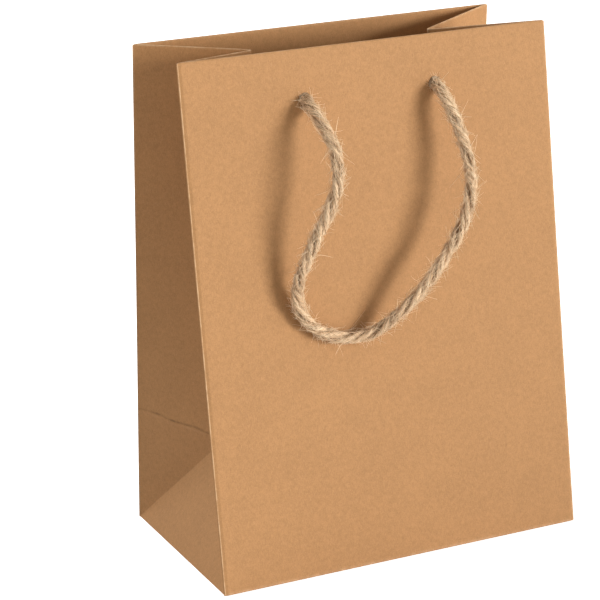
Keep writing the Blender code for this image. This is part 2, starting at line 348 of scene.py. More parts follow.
class Nodes:
    """Adds nodes to a tree and links their sockets by name."""

    def __init__(self, tree):
        self.tree = tree

    def add(self, kind, settings=None, **inputs):
        """A node of a kind, with its own settings, and with each input linked or set."""
        made = self.tree.nodes.new(kind)
        for key, value in (settings or {}).items():
            setattr(made, key, value)
        return self.fill(made, **inputs)

    def fill(self, made, **inputs):
        """Links or sets a node's inputs by name, in which an underscore stands for a space."""
        for key, value in inputs.items():
            self.put(made, key.replace("_", " "), value)
        return made

    def put(self, made, key, value):
        """Links an output socket to an input, or sets the input to a constant."""
        socket = made.inputs[key]
        if isinstance(value, bpy.types.NodeSocket):
            self.tree.links.new(value, socket)
        else:
            socket.default_value = value

    def math(self, operation, *values):
        """A Math node's result."""
        made = self.add("ShaderNodeMath", {"operation": operation})
        for place, value in enumerate(values):
            self.put(made, place, value)
        return made.outputs[0]

    def times(self, first, second):
        """The product of two values."""
        return self.math("MULTIPLY", first, second)

    def total(self, *parts):
        """The sum of (value, share) pairs, each value times its share."""
        result = 0.0
        for value, share in parts:
            result = self.math("MULTIPLY_ADD", value, share, result)
        return result

    def spread(self, value, low, high, to_low=0.0, to_high=1.0):
        """A value from low to high, spread over to_low to to_high and kept inside it."""
        made = self.add("ShaderNodeMapRange", {"interpolation_type": "SMOOTHSTEP"}, Value=value,
                        From_Min=low, From_Max=high, To_Min=to_low, To_Max=to_high)
        return made.outputs["Result"]

    def noise(self, vector, scale, detail=2.0, roughness=0.5, distortion=0.0):
        """A Noise Texture's value."""
        return self.add("ShaderNodeTexNoise", Vector=vector, Scale=scale, Detail=detail, Roughness=roughness,
                        Distortion=distortion).outputs["Fac"]

    def streaks(self, vector, scale, turn, *look):
        """Noise drawn out into streaks: turned about z, then scaled differently on each axis."""
        drawn = self.add("ShaderNodeMapping", Vector=vector, Scale=scale, Rotation=(0.0, 0.0, turn))
        return self.noise(drawn.outputs[0], 1.0, *look)

    def mix(self, share, first, second):
        """Two colours mixed."""
        made = self.add("ShaderNodeMix", {"data_type": "RGBA"})
        for place, value in ((0, share), (6, first), (7, second)):
            self.put(made, place, value)
        return made.outputs[2]

    def field(self, name, output="Fac"):
        """A number or a vector that the mesh holds for each point."""
        return self.add("ShaderNodeAttribute", {"attribute_name": name}).outputs[output]

    def place(self):
        """The place on the object."""
        return self.add("ShaderNodeTexCoord").outputs["Object"]

    def seen(self):
        """1 where the camera looks straight at the surface."""
        return self.add("ShaderNodeLightPath").outputs["Is Camera Ray"]

    def group(self, name):
        """A node of the named group."""
        return self.add("ShaderNodeGroup", {"node_tree": bpy.data.node_groups[name]})

    def bump(self, height, strength, distance):
        """The normal of a surface with a height on it."""
        made = self.add("ShaderNodeBump", Strength=strength, Distance=distance, Height=height)
        return made.outputs["Normal"]


def new_group(name, inputs, outputs):
    """A new shader node group: its nodes, its input sockets, and the node that takes its results."""
    group = bpy.data.node_groups.new(name, "ShaderNodeTree")
    for way, sockets in (("INPUT", inputs), ("OUTPUT", outputs)):
        for label, kind in sockets.items():
            group.interface.new_socket(label, in_out=way, socket_type=f"NodeSocket{kind}")
    nodes = Nodes(group)
    return nodes, nodes.add("NodeGroupInput").outputs, nodes.add("NodeGroupOutput")


def pulp_group():
    """Mottling of pressed wood pulp: soft clouds, fine grain, and short fibres that lie mostly along the
    sheet. Tone is about 0.5, Fibre is 1 on a pale fibre, Shive on a dark one, and Height is for bump."""
    nodes, given, result = new_group("pulp", {"Flat": "Vector", "Place": "Vector"},
                                     dict.fromkeys(("Tone", "Fibre", "Shive", "Height"), "Float"))
    cloud = nodes.noise(given["Place"], 42.0, 3.0, 0.55)
    mottle = nodes.noise(given["Place"], 430.0, 3.0, 0.6)
    fine = nodes.noise(given["Place"], 1900.0, 2.0, 0.6)
    along = nodes.streaks(given["Flat"], (2600.0, 480.0, 900.0), 0.22, 2.0, 0.6, 0.4)
    other = nodes.streaks(given["Flat"], (2300.0, 420.0, 700.0), -0.75, 2.0, 0.6, 0.5)
    rare = nodes.streaks(given["Flat"], (1500.0, 260.0, 500.0), 1.15, 1.0, 0.5, 0.8)
    nodes.fill(
        result, Tone=nodes.total((cloud, 0.12), (mottle, 0.26), (fine, 0.38), (along, 0.24)),
        Fibre=nodes.spread(along, 0.62, 0.74), Height=nodes.total((fine, 0.45), (along, 0.55)),
        Shive=nodes.math("MAXIMUM", nodes.spread(other, 0.68, 0.80), nodes.spread(rare, 0.71, 0.80)))


def fold_wear_and_painted_light_group():
    """Marks along the folds: cracked, paled wear, and also painted highlight and painted shade. The fold
    line's strength, broken up along it.
    """
    nodes, given, result = new_group("fold_wear_and_painted_light", {"Fold": "Float", "Place": "Vector"}, {"Wear": "Float"})
    broken = nodes.spread(nodes.noise(given["Place"], 210.0, 3.0, 0.65), 0.30, 0.72, 0.35, 1.0)
    nodes.fill(result, Wear=nodes.times(given["Fold"], broken))


def strand_group():
    """Fibres laid along a strand. Streak runs along the lay in fine lines, Bundle in wider ones, Fleck
    is 1 on a rare brown scrap of bark, and Height is for bump."""
    nodes, given, result = new_group("strand_fibres", {"Lay": "Vector"},
                                     dict.fromkeys(("Streak", "Bundle", "Fleck", "Height"), "Float"))
    streak = nodes.streaks(given["Lay"], (120.0, 3000.0, 40.0), 0.0, 3.0, 0.66, 0.3)
    bundle = nodes.streaks(given["Lay"], (70.0, 1500.0, 40.0), 0.0, 2.0, 0.55, 0.25)
    scrap = nodes.streaks(given["Lay"], (230.0, 1400.0, 60.0), 0.0, 1.0, 0.5, 0.6)
    nodes.fill(result, Streak=streak, Bundle=bundle, Fleck=nodes.spread(scrap, 0.66, 0.76),
               Height=nodes.total((streak, 0.6), (bundle, 0.4)))


def new_material(name):
    """A material with a Principled BSDF: the material, its nodes and the shader."""
    material = bpy.data.materials.new(name)
    material.use_nodes = True
    return material, Nodes(material.node_tree), material.node_tree.nodes["Principled BSDF"]


def shade(colour, factor):
    """A colour with each channel times a factor, and no higher than 1."""
    return tuple(min(1.0, channel * factor) for channel in colour[:3]) + (1.0,)


def paper_material(name, colour, worn_and_lit, contrast, roughness, bump=0.28, wear_and_painted_light=0.0, folded=True):
    """Paper or board: pulp mottling in Base Color, Roughness and bump. A folded sheet has its fibres laid
    along the flat paper, and its folds are painted paler for wear and painted highlight, and darker with
    painted shade where the fold field is below 0."""
    _, nodes, shader = new_material(name)
    place = nodes.place()
    pulp = nodes.fill(nodes.group("pulp"), Flat=nodes.field("flat", "Vector") if folded else place,
                      Place=place).outputs
    surface = nodes.mix(nodes.spread(pulp["Tone"], 0.32, 0.68), shade(colour, 1 - contrast),
                        shade(colour, 1 + contrast))
    pale = tuple(0.5 * (first + second) for first, second in zip(colour, worn_and_lit))
    surface = nodes.mix(nodes.times(pulp["Fibre"], 0.22), surface, pale)
    surface = nodes.mix(nodes.times(pulp["Shive"], 0.42), surface, shade(colour, 0.66))
    # Fold lines: the pale colour paints wear and a painted highlight; where the fold field is below 0, a
    # dark colour paints shade in the crease.
    if wear_and_painted_light:
        wear_and_painted_light_mask = nodes.fill(nodes.group("fold_wear_and_painted_light"), Fold=nodes.field("fold"), Place=place).outputs["Wear"]
        surface = nodes.mix(nodes.spread(wear_and_painted_light_mask, 0.0, 1.0, 0.0, wear_and_painted_light), surface, worn_and_lit)
        surface = nodes.mix(nodes.spread(wear_and_painted_light_mask, 0.0, -1.0, 0.0, wear_and_painted_light), surface, shade(colour, 0.42))
    nodes.fill(shader, Base_Color=surface, Specular_IOR_Level=0.32,
               Roughness=nodes.spread(pulp["Height"], 0.3, 0.7, roughness + 0.08, roughness - 0.06),
               Normal=nodes.bump(pulp["Height"], bump, 0.06 * MM))


def jute_material(name, rope, loose=False):
    """Jute: dark, middling and pale fibres along the lay, with painted shade in the grooves, and brown
    flecks.
    """
    _, nodes, shader = new_material(name)
    fibres = nodes.fill(nodes.group("strand_fibres"), Lay=nodes.field("lay", "Vector")).outputs
    dark, middling, pale = tuple(rope.dark_colour), tuple(rope.colour), tuple(rope.pale_colour)
    if loose:
        surface = nodes.mix(nodes.field("tint"), middling, pale)
        surface = nodes.mix(nodes.times(fibres["Streak"], 0.3), surface, pale)
    else:
        surface = nodes.mix(nodes.spread(fibres["Bundle"], 0.38, 0.56), dark, middling)
        surface = nodes.mix(nodes.spread(fibres["Streak"], 0.47, 0.60, 0.0, 0.9), surface, pale)
        surface = nodes.mix(nodes.times(fibres["Fleck"], 0.7), surface, BARK_COLOUR)
        # Painted shade on the sides of the strands that face into the rope, where they press together.
        surface = nodes.mix(nodes.times(nodes.field("groove_shade"), 0.72), surface, dark)
    nodes.fill(shader, Base_Color=surface, Specular_IOR_Level=0.25, Sheen_Weight=0.25, Sheen_Roughness=0.5,
               Sheen_Tint=pale, Roughness=nodes.spread(fibres["Streak"], 0.3, 0.7, 0.86, 0.62),
               Normal=nodes.bump(fibres["Height"], 0.2 if loose else 0.75, 0.12 * MM))


class GIFTBAG_OT_finishes(Operator):
    """Make the paper, board and jute materials"""

    bl_idname = "giftbag.finishes"
    bl_label = "Finishes"

    def execute(self, context):
        paper, rope = context.scene.giftbag_paper, context.scene.giftbag_rope
        kraft, worn_and_lit, cut = tuple(paper.colour), tuple(paper.worn_and_lit_colour), tuple(paper.cut_colour)
        pulp_group()
        fold_wear_and_painted_light_group()
        strand_group()
        paper_material("kraft_sheet", kraft, worn_and_lit, 0.16, 0.70, wear_and_painted_light=0.75)
        paper_material("kraft_cut_edge", cut, cut, 0.20, 0.82, bump=0.5)
        paper_material("kraft_flap", kraft, worn_and_lit, 0.11, 0.74, folded=False)
        paper_material("grey_board", tuple(paper.card_colour), PALE_BOARD, 0.20, 0.80, folded=False)
        jute_material("jute_strands", rope)
        jute_material("jute_fibres", rope, loose=True)
        return {"FINISHED"}


def refinish(node, material):
    """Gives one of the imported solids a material."""
    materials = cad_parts[node].data.materials
    materials.clear()
    materials.append(bpy.data.materials[material])


# ---- walls


def punched_grid(across, along, holes, radius, reach):
    """A flat grid with round holes, returned as points and faces. Around each hole the grid gives way to
    a square patch of rings, which go from the circle to the square in straight lines."""
    points = np.stack(np.meshgrid(across, along), axis=-1).reshape(-1, 2)
    faces = grid_quads(len(along), len(across))
    centres = points[faces].mean(axis=1)
    parts, sets = [points], []
    for hole in holes:
        inside = np.abs(centres - hole).max(axis=1) < reach
        faces, centres = faces[~inside], centres[~inside]
        square = points[np.abs(np.abs(points - hole).max(axis=1) - reach) < 1e-8]
        angle = np.arctan2(square[:, 1] - hole[1], square[:, 0] - hole[0])
        order = np.argsort(angle)
        square, angle = square[order], angle[order]
        circle = hole + radius * np.stack([np.cos(angle), np.sin(angle)], axis=1)
        share = np.array([0.0, 0.08, 0.25, 0.55, 1.0])[:, None, None]
        rings = circle + (square - circle) * share
        sets.append(grid_quads(len(share), len(square), closed=True)[:, ::-1] + sum(map(len, parts)))
        parts.append(rings.reshape(-1, 2))
    return np.vstack(parts), np.vstack([faces, *sets])


def wall_profile(along):
    """(inwards, up) of a wall's outer face at each distance along its paper: round the bottom fold, up
    the wall, half a turn over the top fold, and down the inside as a hem."""
    radius, bottom = TOP_FOLD_RADIUS, BOTTOM_FOLD_RADIUS
    low = np.clip((BOTTOM_FOLD_CENTRE - along) / bottom, 0.0, None)
    turn = np.clip((along - TOP_START) / radius, 0.0, math.pi)
    down = np.clip(along - TOP_START - math.pi * radius, 0.0, None)
    inward = bottom * (1 - np.cos(low)) + radius * (1 - np.cos(turn))
    up = np.where(along < BOTTOM_FOLD_CENTRE, BOTTOM_FOLD_CENTRE - bottom * np.sin(low),
                  np.minimum(along, TOP_START))
    return inward, up + radius * np.sin(turn) - down


def wall_surface(flat):
    """The folded wall at places (across, along) on its flat paper. The sides turn in round a quarter
    circle, the hem is narrower than the wall, and a pressed strip runs beside each side fold. The wall
    bows by slack = 0.25 mm sin^2(pi along / WALL_LENGTH), a little unevenly."""
    across, along = flat.T
    turned = np.clip((along - TOP_START) / (math.pi * TOP_FOLD_RADIUS), 0.0, 1.0)
    steady = 60 * MM
    width = HALF_PAPER + (WIDTH / 2 - HEM_SIDE_INSET - HALF_PAPER) * turned
    beyond = np.clip(np.abs(across) - steady, 0.0, None) * (width - steady) / (HALF_PAPER - steady)
    distance = np.minimum(np.abs(across), steady) + beyond
    angle = np.clip((distance - SIDE_START) / SIDE_FOLD_RADIUS, 0.0, math.pi / 2)
    x = np.sign(across) * (np.minimum(distance, SIDE_START) + SIDE_FOLD_RADIUS * np.sin(angle))
    inward, up = wall_profile(along)
    pressed = math.tan(PRESS_ANGLE) * np.clip(distance - (WIDTH / 2 - SCORE_INSET), 0.0, PRESS_WIDTH)
    slack = 0.25 * MM * np.sin(math.pi * np.clip(along / WALL_LENGTH, 0.0, 1.0)) ** 2
    slack = slack * (1 + 0.6 * np.sin(across * 47 + 1.3) * np.sin(along * 31 + 0.4))
    y = inward + (SIDE_FOLD_RADIUS * (1 - np.cos(angle)) + pressed + slack) * (1 - turned)
    return joined(x, y, up), distance


def wall_lines():
    """The grid lines of a wall's flat paper: across it, and along it. They are close together at the
    folds and around the holes."""
    patch = np.linspace(-HOLE_PATCH, HOLE_PATCH, 9)
    half = np.concatenate([
        patch + HOLE_SPACING / 2, np.linspace(49, 92, 8) * MM, HALF_PAPER - np.array([0.0, 0.26, 0.52]) * MM,
        SIDE_START - np.array([0.0, 0.2, 0.4, 0.5, 0.8, 1.2, 1.6, 1.8, 2.1, 3.0, 5.0]) * MM])
    across = np.concatenate([half, -half, np.linspace(-25, 25, 8) * MM])
    fold = TOP_START + TOP_FOLD_RADIUS * np.linspace(0, math.pi, 11)
    hole_again = fold[-1] + TOP_START - HOLE_HEIGHT
    along = np.concatenate([
        BOTTOM_FOLD_CENTRE - BOTTOM_FOLD_RADIUS * np.radians([70, 52, 35, 17, 0]),
        np.array([0.8, 1.6, 3.0, 6.0]) * MM, np.linspace(12, 224, 24) * MM, patch + HOLE_HEIGHT,
        np.array([254, 260, 264, 265.5]) * MM, fold, fold[-1] + np.array([0.6, 2.0, 6.0, 12.0]) * MM,
        patch + hole_again, hole_again + np.array([9.0]) * MM, [fold[-1] + HEM_LENGTH - TOP_FOLD_RADIUS]])
    return np.unique(across.round(9)), np.unique(along.round(9)), hole_again


class GIFTBAG_OT_walls(Operator):
    """Fold the front and back walls, with their punched holes and turned-over top edges"""

    bl_idname = "giftbag.walls"
    bl_label = "Walls"

    def execute(self, context):
        across, along, hole_again = wall_lines()
        holes = np.array([(sign * HOLE_SPACING / 2, height) for height in (HOLE_HEIGHT, hole_again)
                          for sign in (-1, 1)])
        flat, faces = punched_grid(across, along, holes, HOLE_RADIUS, HOLE_PATCH)
        flat, faces, _ = weld(flat, faces)
        local, distance = wall_surface(flat)
        # Fold field: the side, top and bottom folds are pale for wear, and the side fold's pale line is also
        # a painted highlight; the pressed strip beside the side fold is darkened as painted shade.
        side_fold = near_line(distance - (SIDE_START - 0.05 * MM), 0.30 * MM)
        score_shade = -0.22 * near_line(distance - (WIDTH / 2 - SCORE_INSET + PRESS_WIDTH / 2), 0.6 * MM)
        on_wall = flat[:, 1] < TOP_START + 1.4 * MM
        top_fold = 0.6 * near_line(flat[:, 1] - (TOP_START + TOP_FOLD_RADIUS * math.pi / 2), 0.9 * MM)
        bottom_fold = 0.6 * near_line(flat[:, 1] - BOTTOM_FOLD_CENTRE, 0.7 * MM)
        fold_wear_light_and_shade = np.clip((side_fold + score_shade) * on_wall + top_fold + bottom_fold, -1.0, 1.0)
        for number, (name, facing) in enumerate(ENDS):
            points = in_wall(local, facing)
            place = np.c_[flat, np.full(len(flat), 0.05 * number)]
            wall = add_sheet(f"{name}_wall_sheet", points, point_normals(points, faces), [faces],
                             context.scene.giftbag_paper.thickness, place, fold_wear_light_and_shade)
            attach(wall, f"{name}_wall")
            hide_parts(f"{name}_panel", f"{name}_hem")
            refinish(f"{name}_card", "grey_board")
        return {"FINISHED"}


# ---- side pleats


def pleat_corners():
    """The corner points of the left pleat's front half: its outer edge at the ground, at the fold and at
    the top, then its middle line at the ground, at the fold and at the top."""
    half = DEPTH / 2
    sine, cosine = math.sin(LEAN), math.cos(LEAN)
    depth = math.sqrt(half**2 - HALF_MOUTH**2)
    edge_in, edge_up = half - CROSS_FOLD * sine, CROSS_FOLD * cosine
    apex_height = (CROSS_FOLD**2 + edge_up**2 + edge_in**2 - half**2) / (2 * edge_up)
    apex_depth = math.sqrt(CROSS_FOLD**2 - apex_height**2)
    side = -WIDTH / 2 + PLEAT_TUCK
    ground = CREASE_HEIGHT - 0.3 * MM
    foot, fold, top = in_wall([(side, PLEAT_BEHIND, up) for up in (0.0, CROSS_FOLD, WALL_LENGTH)], 1)
    foot[2] = ground
    middle = np.array([side, 0.0, ground])
    apex = np.array([-WIDTH / 2 + apex_depth, 0.0, CREASE_HEIGHT + apex_height])
    dip = np.array([-WIDTH / 2 + depth, 0.0, DIP_HEIGHT])
    return foot, fold, top, middle, apex, dip


PLEAT_TALL = WALL_LENGTH / CROSS_FOLD - 1   # the upper part's height, in lengths of the lower part


def pleat_surface(u, v):
    """The left pleat's front half. u runs from the wall's edge, 0, to the middle line, 1. v runs up from
    the ground, 0, over the cross fold, 1, to the top, 1 + PLEAT_TALL.
    Below the cross fold it is two triangles that meet on the diagonal u = v: a flat sheet from the edge,
    plus soft_ramp(u - v) times the turn at the diagonal. Above, it is the straight-lined surface
    between the wall's edge and the middle line. The middle line is rounded as sqrt(y^2 + r^2)."""
    foot, fold, top, middle, apex, dip = pleat_corners()
    u, v = np.broadcast_arrays(np.asarray(u, float), np.asarray(v, float))
    above = soft_ramp(v - 1, 0.012)
    low = (v - above)[..., None]
    high = (above / PLEAT_TALL)[..., None]
    u1 = u[..., None]
    below = foot + low * (fold - foot) + u1 * (apex - fold)
    below = below + soft_ramp(u1 - low, 0.004) * (middle - foot - apex + fold)
    rising = (1 - u1) * high * (top - fold) + u1 * high * (dip - apex)
    points = below + rising
    slope = (dip[0] - top[0]) / (dip[1] - top[1])
    rounding = 0.7 * MM
    share = smooth_step((v - 1) / 0.12)
    reach = np.abs(points[..., 1])
    points[..., 0] -= share * slope * (np.sqrt(reach**2 + rounding**2) - reach)
    belly = np.sin(math.pi * np.clip(u, 0, 1)) * np.sin(math.pi * np.clip((v - 1) / PLEAT_TALL, 0, 1))
    points[..., 0] += 0.9 * MM * belly
    return points


def pleat_outward(u, v):
    """Unit normals of pleat_surface on its outer side, from differences of the surface."""
    step = 0.002
    over = pleat_surface(np.minimum(u + step, 1.0), v) - pleat_surface(np.maximum(u - step, 0.0), v)
    up = pleat_surface(u, v + step) - pleat_surface(u, np.maximum(v - step, 0.0))
    normal = np.cross(up, over)
    return unit(np.where(((u > 1 - 1e-6) & (v > 1.02))[..., None], normal * (1, 0, 1), normal))


def pleat_half():
    """The left pleat's front half as a grid: its points, normals, flat places and fold strengths, with
    the number of rows up to the cross fold. Above the top edge the rows turn over, round half a circle
    of radius r as at + r (sin t rise - (1 - cos t) out), and run down inside as a narrower hem."""
    lines = np.concatenate([[0, 0.006, 0.014, 0.03, 0.055], np.linspace(0.09, 0.91, 22),
                            [0.945, 0.97, 0.985, 0.994, 1]])
    upper = 1 + np.concatenate([[0.004, 0.012, 0.03, 0.07], np.linspace(0.14, PLEAT_TALL - 0.1, 34)])
    top = 1 + PLEAT_TALL
    radius = PLEAT_HEM_RADIUS
    start = top - radius / CROSS_FOLD
    turn = np.linspace(0.0, math.pi, 8)[:, None]
    hem = np.concatenate([[0.5 * MM, 2 * MM], np.linspace(5 * MM, PLEAT_HEM_LENGTH, 8)])[:, None]
    u, v = np.meshgrid(lines, np.concatenate([lines, upper, [top - 0.05, top - 0.02]]))
    outer = pleat_surface(u, v)
    inset = PLEAT_HEM_INSET * smooth_step(turn / math.pi)
    u_turn = inset + (1 - inset) * lines
    at = pleat_surface(u_turn, np.full_like(u_turn, start))
    out = pleat_outward(u_turn, np.full_like(u_turn, start))
    rise = unit(pleat_surface(u_turn, np.full_like(u_turn, start + 0.01)) - at)
    turn1 = turn[..., None]
    turned = at + radius * (np.sin(turn1) * rise - (1 - np.cos(turn1)) * out)
    u_hem = PLEAT_HEM_INSET + (1 - PLEAT_HEM_INSET) * np.repeat(lines[None], len(hem), axis=0)
    v_hem = start - hem / CROSS_FOLD + 0 * u_hem
    inside = pleat_surface(u_hem, v_hem) - 2 * radius * pleat_outward(u_hem, v_hem)
    points = np.vstack([outer, turned, inside])
    normals = np.cross(np.gradient(points, axis=0), np.gradient(points, axis=1))
    normals[len(lines):, -1, 1] = 0.0
    far = start * CROSS_FOLD
    up_sheet = np.vstack([v[:, :1] * CROSS_FOLD, far + turn * radius, far + math.pi * radius + hem])
    across = lines * DEPTH / 2
    flat = joined(across, up_sheet, 0.11)
    middle = 0.6 * near_line(DEPTH / 2 - across, 0.7 * MM)
    waver = up_sheet - CROSS_FOLD + 0.35 * MM * np.sin(lines * 14 + 2)
    # At the cross fold, the pale line below it is a painted highlight and the dark line above it is painted
    # shade in the crease.
    cross = 0.45 * near_line(waver + 1.1 * MM, 0.6 * MM) - near_line(waver - 0.2 * MM, 0.75 * MM)
    diagonal = 0.12 * near_line(lines * CROSS_FOLD - up_sheet, 0.9 * MM)
    brim = 0.9 * near_line(up_sheet - (far + radius * math.pi / 2), 0.8 * MM)
    edge = 0.5 * near_line(across, 0.7 * MM)
    above = up_sheet > CROSS_FOLD
    fold_wear_light_and_shade = np.clip(middle * above + cross + diagonal * ~above + brim + edge, -1.0, 1.0)
    return points, unit(normals), flat, fold_wear_light_and_shade, len(lines)


def mirrored(points, normals, face_sets, right, back):
    """The left front half turned into another one: each mirroring turns the faces round."""
    scale = np.array([-1.0 if right else 1.0, -1.0 if back else 1.0, 1.0])
    turned = [faces if right == back else faces[:, ::-1] for faces in face_sets]
    return points * scale, normals * scale, turned


class GIFTBAG_OT_pleats(Operator):
    """Fold the side pleats and the folded feet below them"""

    bl_idname = "giftbag.pleats"
    bl_label = "Side pleats"

    def execute(self, context):
        thickness = context.scene.giftbag_paper.thickness
        points, normals, flat, fold_wear_light_and_shade, low_rows = pleat_half()
        rows, columns = points.shape[:2]
        points, normals, flat = (part.reshape(-1, 3) for part in (points, normals, flat))
        quads = grid_quads(rows, columns)[:, ::-1]
        row, column = np.divmod(np.arange((rows - 1) * (columns - 1)), columns - 1)
        low = row < low_rows - 1
        on_diagonal = quads[low & (row == column)]
        shapes = {
            "pleat": [quads[~low]],
            "corner": [quads[low & (row > column)], on_diagonal[:, [0, 1, 3]]],
            "foot": [quads[low & (row < column)], on_diagonal[:, [1, 2, 3]]],
        }
        foot, fold, _, _, apex, _ = pleat_corners()
        slope = unit(np.array([0.0, -(apex[2] - foot[2]), apex[1] - foot[1]]))
        corner_reach = float((fold - foot) @ slope * HALF_MOUTH / -fold[1])
        for right in (False, True):
            side = "right" if right else "left"
            feet = []
            for back in (False, True):
                end = "back" if back else "front"
                flip = -1.0 if back else 1.0
                for shape, face_sets in shapes.items():
                    part = used_only(points, face_sets, normals, flat, fold_wear_light_and_shade.ravel())
                    moved, turned, sets = mirrored(part[0], part[2], part[1], right, back)
                    place = part[3] + (0.0, 0.0, 0.07 * (1 + right + 2 * back))
                    if shape == "foot":
                        feet.append((moved, turned, sets, place, part[4]))
                        continue
                    sheet = add_sheet(f"{side}_{shape}_{end}_sheet", moved, turned, sets, thickness,
                                      place, part[4])
                    if shape == "pleat":
                        start, stop = Vector((0, 0, 0.1)), Vector((0, -flip * HALF_MOUTH, 0.1))
                    else:
                        start = Vector((0, flip * foot[1], foot[2]))
                        stop = start + corner_reach * Vector((0, flip * slope[1], slope[2]))
                    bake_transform(sheet)
                    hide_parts(f"{side}_{shape}_{end}")
            count = len(feet[0][0])
            sets = feet[0][2] + [faces + count for faces in feet[1][2]]
            moved, turned, place, part_fold_wear_light_and_shade = (
                np.concatenate([feet[0][item], feet[1][item]]) for item in (0, 1, 3, 4))
            sizes = np.cumsum([0] + [len(faces) for faces in sets])
            padded = np.vstack([faces if faces.shape[1] == 4 else faces[:, [0, 1, 2, 2]] for faces in sets])
            moved, padded, first = weld(moved, padded)
            turned, place, part_fold_wear_light_and_shade = turned[first], place[first], part_fold_wear_light_and_shade[first]
            turned[np.abs(moved[:, 1]) < 1e-6] *= (1, 0, 1)
            sets = [padded[sizes[item]:sizes[item + 1], :3 if item % 2 else 4] for item in range(4)]
            sheet = add_sheet(f"{side}_foot_sheet", moved, unit(turned), sets, thickness, place,
                              part_fold_wear_light_and_shade)
            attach(sheet, "base")
            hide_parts(f"{side}_foot")
        return {"FINISHED"}


# ---- bottom


def flap_surface(across, along, length, lift):
    """A bottom flap at shares (across -1..1, along 0..1): it narrows at 45 degrees near its free end,
    starts round a small fold, and rises by lift where it lies on the flap below it."""
    far = along * length
    narrow = np.clip(far - (length - FLAP_TAPER), 0.0, None)
    x = across * (WIDTH / 2 - 0.7 * MM - narrow)
    y = -DEPTH / 2 + 0.5 * MM + far
    z = 0.01 * MM + lift * smooth_step((far - (DEPTH / 2 - FLAP_CLIMB)) / (1.2 * MM))
    z = z + 0.35 * MM * np.clip(1 - far / (0.7 * MM), 0.0, 1.0) ** 2
    return joined(x, y, z)


class GIFTBAG_OT_bottom(Operator):
    """Fold the bottom flaps over each other, and finish the board that lies on them"""

    bl_idname = "giftbag.bottom"
    bl_label = "Bottom"

    def execute(self, context):
        across = np.unique(np.r_[np.linspace(-1, 1, 25), -0.99, 0.99].round(6))
        for name, length, lift, turned in (("outer", DEPTH / 2 + 13 * MM, 0.0, False),
                                           ("inner", DEPTH / 2 + 12 * MM, 0.27 * MM, True)):
            along = np.unique(np.r_[np.array([0, 0.2, 0.4, 0.7, 1.0, 2.0]) * MM / length,
                                    np.linspace(0.06, 1, 22), np.linspace(0.58, 0.66, 9)].round(6))
            u, v = np.meshgrid(across, along)
            points = flap_surface(u, v, length, lift).reshape(-1, 3)
            flat = joined(u * WIDTH / 2, v * length, 0.31 + 0.1 * turned)
            faces = grid_quads(len(along), len(across))[:, ::-1]
            if turned:
                points = points * (-1, -1, 1)
            fold_wear_light_and_shade = 0.6 * near_line(v * length, 0.8 * MM).ravel()
            flap = add_sheet(f"bottom_{name}_flap", points, point_normals(points, faces), [faces],
                             FLAP_THICKNESS, flat.reshape(-1, 3), fold_wear_light_and_shade)
            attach(flap, "base")
        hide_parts("base_panel")
        refinish("base_board", "grey_board")
        refinish("left_base_flap", "kraft_flap")
        refinish("right_base_flap", "kraft_flap")
        return {"FINISHED"}


# ---- handles


def smooth_path(points, spacing):
    """Points at equal steps along the Catmull-Rom curve through the given points."""
    padded = np.vstack([2 * points[0] - points[1], points, 2 * points[-1] - points[-2]])
    before, start, end, after = (padded[shift:len(padded) - 3 + shift, None] for shift in range(4))
    t = np.linspace(0.0, 1.0, 60, endpoint=False)[None, :, None]
    fine = 0.5 * (2 * start + (end - before) * t + (2 * before - 5 * start + 4 * end - after) * t**2
                  + (3 * start - before - 3 * end + after) * t**3)
    fine = np.vstack([fine.reshape(-1, 3), points[-1:]])
    travelled = np.r_[0.0, np.cumsum(np.linalg.norm(np.diff(fine, axis=0), axis=1))]
    at = np.linspace(0.0, travelled[-1], round(travelled[-1] / spacing) + 1)
    return np.stack([np.interp(at, travelled, fine[:, axis]) for axis in range(3)], axis=1), at


def path_frames(path, guide):
    """The path's direction and two directions across it that don't spin about it: a frame from the guide
    direction, turned back by the sum of its own spin."""
    along = unit(np.gradient(path, axis=0))
    first = unit(np.cross(along, guide))
    second = np.cross(along, first)
    spin = np.r_[0.0, np.cumsum((np.diff(first, axis=0) * 0.5 * (second[1:] + second[:-1])).sum(axis=1))]
    cosine, sine = np.cos(spin)[:, None], np.sin(spin)[:, None]
    return along, cosine * first - sine * second, sine * first + cosine * second


